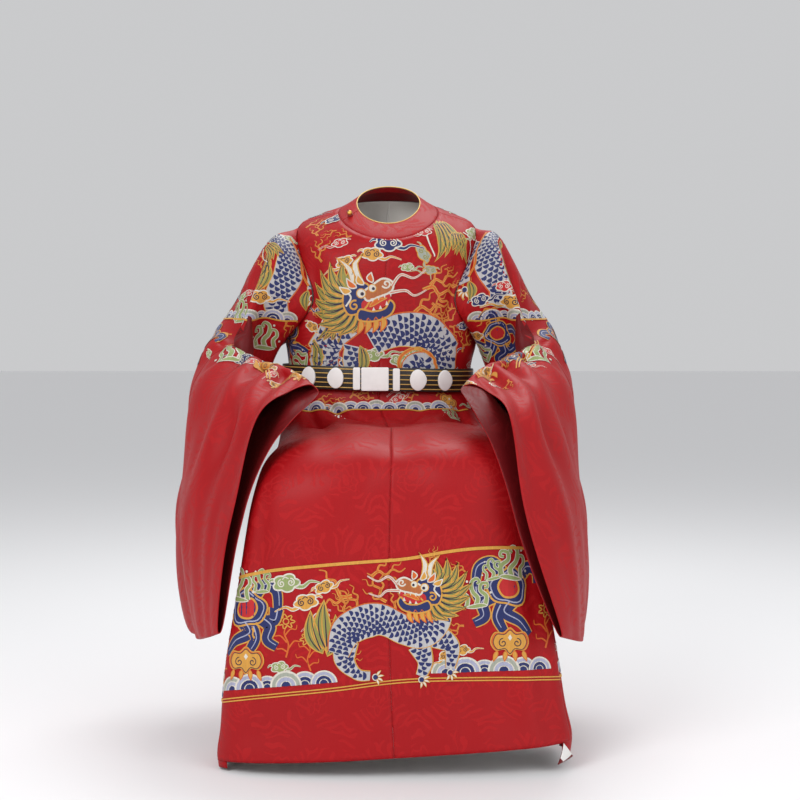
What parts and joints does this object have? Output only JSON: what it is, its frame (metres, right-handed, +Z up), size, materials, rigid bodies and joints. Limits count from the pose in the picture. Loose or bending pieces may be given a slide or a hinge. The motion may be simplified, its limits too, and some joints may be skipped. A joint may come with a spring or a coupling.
{
  "type": "worn round collar robe with its belt, held up by the wearer",
  "caption": "Seated round collar robe of red brocade: a hollow cloth form with wide hanging sleeves, slit skirt, side flaps and a stiff belt with pale plates.",
  "frame": {"origin": "the middle of the shoulder line, where the wearer holds the robe up", "axes": "+Z up, +X to the wearer's left, -Y the way the wearer faces"},
  "size_m": [0.831, 0.7923, 1.0831],
  "materials": {
    "robe_cloth": "red satin damask with woven colour zones",
    "collar_cloth": "plain red satin",
    "button_gilt": "polished bead",
    "belt_leather": "black with fine gold lines",
    "belt_plates": "pale jade-like plates"
  },
  "bodies": {
    "root": {"front_left": "robe_cloth", "front_right": "robe_cloth", "back_left": "robe_cloth", "back_right": "robe_cloth", "side_flap_left": "robe_cloth", "side_flap_right": "robe_cloth", "sleeve_upper_left": "robe_cloth", "sleeve_lower_left": "robe_cloth", "sleeve_upper_right": "robe_cloth", "sleeve_lower_right": "robe_cloth", "collar_band": "collar_cloth", "collar_loop": "collar_cloth", "collar_button": "button_gilt", "belt_strap": "belt_leather", "plate_centre": "belt_plates", "plate_bar_left": "belt_plates", "plate_bar_right": "belt_plates", "plate_peach_left": "belt_plates", "plate_peach_right": "belt_plates", "plate_peach_far_left": "belt_plates", "plate_peach_far_right": "belt_plates"}
  },
  "joints": []
}
